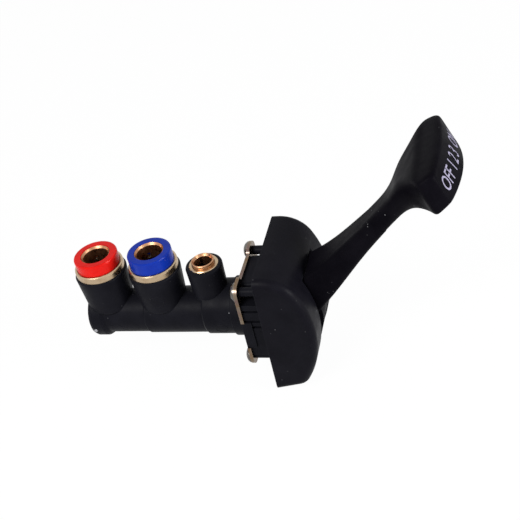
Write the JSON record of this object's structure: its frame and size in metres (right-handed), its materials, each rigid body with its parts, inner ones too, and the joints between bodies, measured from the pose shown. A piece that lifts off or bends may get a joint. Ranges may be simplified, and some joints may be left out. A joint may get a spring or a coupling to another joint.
{
  "type": "hand lever air valve",
  "caption": "Dashboard hand control air valve: stepped black valve body with push-in tube ports, steel clamp plate, domed bezel and a sprung pull-down lever with a paddle knob.",
  "frame": {"origin": "on the valve's axis, in the plane of the bezel's rear rim, which lies on the dashboard panel", "axes": "+X towards the driver, along the valve; +Z the way the tube ports point, up; +Y across, along the lever's pivot pin"},
  "size_m": [0.1454, 0.0404, 0.0895],
  "materials": {
    "body_plastic": "satin glass-filled nylon",
    "bezel_plastic": "satin, fine moulded texture",
    "lever_plastic": "satin, fine moulded texture",
    "brass": "turned brass, slightly coppery",
    "bronze": "sintered bronze",
    "red_plastic": "glossy moulded acetal",
    "blue_plastic": "glossy moulded acetal",
    "rubber": "nitrile rubber",
    "plated_steel": "yellow zinc plated sheet",
    "screw_steel": "zinc plated steel",
    "spring_steel": "spring wire",
    "acetal": "natural acetal"
  },
  "bodies": {
    "valve": {"valve_body": "body_plastic", "inlet_seat": "brass", "inlet_seat_o_ring": "rubber", "plunger_bushing": "bronze", "plunger_wiper": "rubber", "mounting_plate": "plated_steel", "plate_screws": "screw_steel", "bezel": "bezel_plastic", "lever_housing": "body_plastic", "lever_pivot_pin": "screw_steel", "pivot_pin_clip": "screw_steel", "supply_cartridge": "brass", "supply_tube_o_ring": "rubber", "delivery_cartridge": "brass", "delivery_tube_o_ring": "rubber", "exhaust_cartridge": "brass", "exhaust_tube_o_ring": "rubber"},
    "lever": {"lever": "lever_plastic", "knob": "lever_plastic", "lever_cam": "screw_steel", "cam_pin": "screw_steel", "pivot_bushings": "bronze"},
    "plunger": {"plunger": "acetal", "graduating_spring": "spring_steel"},
    "piston": {"piston": "brass", "piston_o_ring": "rubber", "piston_spring": "spring_steel"},
    "poppet": {"poppet": "acetal", "poppet_seal": "rubber", "poppet_spring": "spring_steel"},
    "supply_release": {"supply_collet": "brass", "supply_release_collar": "red_plastic"},
    "delivery_release": {"delivery_collet": "brass", "delivery_release_collar": "blue_plastic"},
    "exhaust_release": {"exhaust_collet": "brass"}
  },
  "joints": [
    {"name": "lever_hinge", "type": "hinge", "parent": "valve", "child": "lever", "pos_m": [0.0085, 0, 0.0009], "axis": [0, 1, 0], "range_deg": [0, 55], "stiffness_Nm_per_rad": 0.6, "springref_deg": -20.05},
    {"name": "plunger_slide", "type": "slide", "parent": "valve", "child": "plunger", "axis": [-1, 0, 0], "range_m": [0, 0.00401], "deforming": ["graduating_spring"]},
    {"name": "piston_slide", "type": "slide", "parent": "valve", "child": "piston", "axis": [-1, 0, 0], "range_m": [0, 0.00201], "deforming": ["piston_spring"]},
    {"name": "poppet_slide", "type": "slide", "parent": "valve", "child": "poppet", "axis": [-1, 0, 0], "range_m": [0, 0.00121], "deforming": ["poppet_spring"]},
    {"name": "supply_release_slide", "type": "slide", "parent": "valve", "child": "supply_release", "axis": [0, 0, -1], "range_m": [0, 0.0013], "stiffness_N_per_m": 2000, "springref_m": -0.001},
    {"name": "delivery_release_slide", "type": "slide", "parent": "valve", "child": "delivery_release", "axis": [0, 0, -1], "range_m": [0, 0.0013], "stiffness_N_per_m": 2000, "springref_m": -0.001},
    {"name": "exhaust_release_slide", "type": "slide", "parent": "valve", "child": "exhaust_release", "axis": [0, 0, -1], "range_m": [0, 0.0013], "stiffness_N_per_m": 2000, "springref_m": -0.001}
  ],
  "couplings": [
    {"joint": "plunger_slide", "follows": "lever_hinge", "m_per_rad": 0.004167},
    {"joint": "piston_slide", "follows": "lever_hinge", "m_per_rad": 0.0020835},
    {"joint": "poppet_slide", "follows": "lever_hinge", "m_per_rad": 0.0012501}
  ]
}
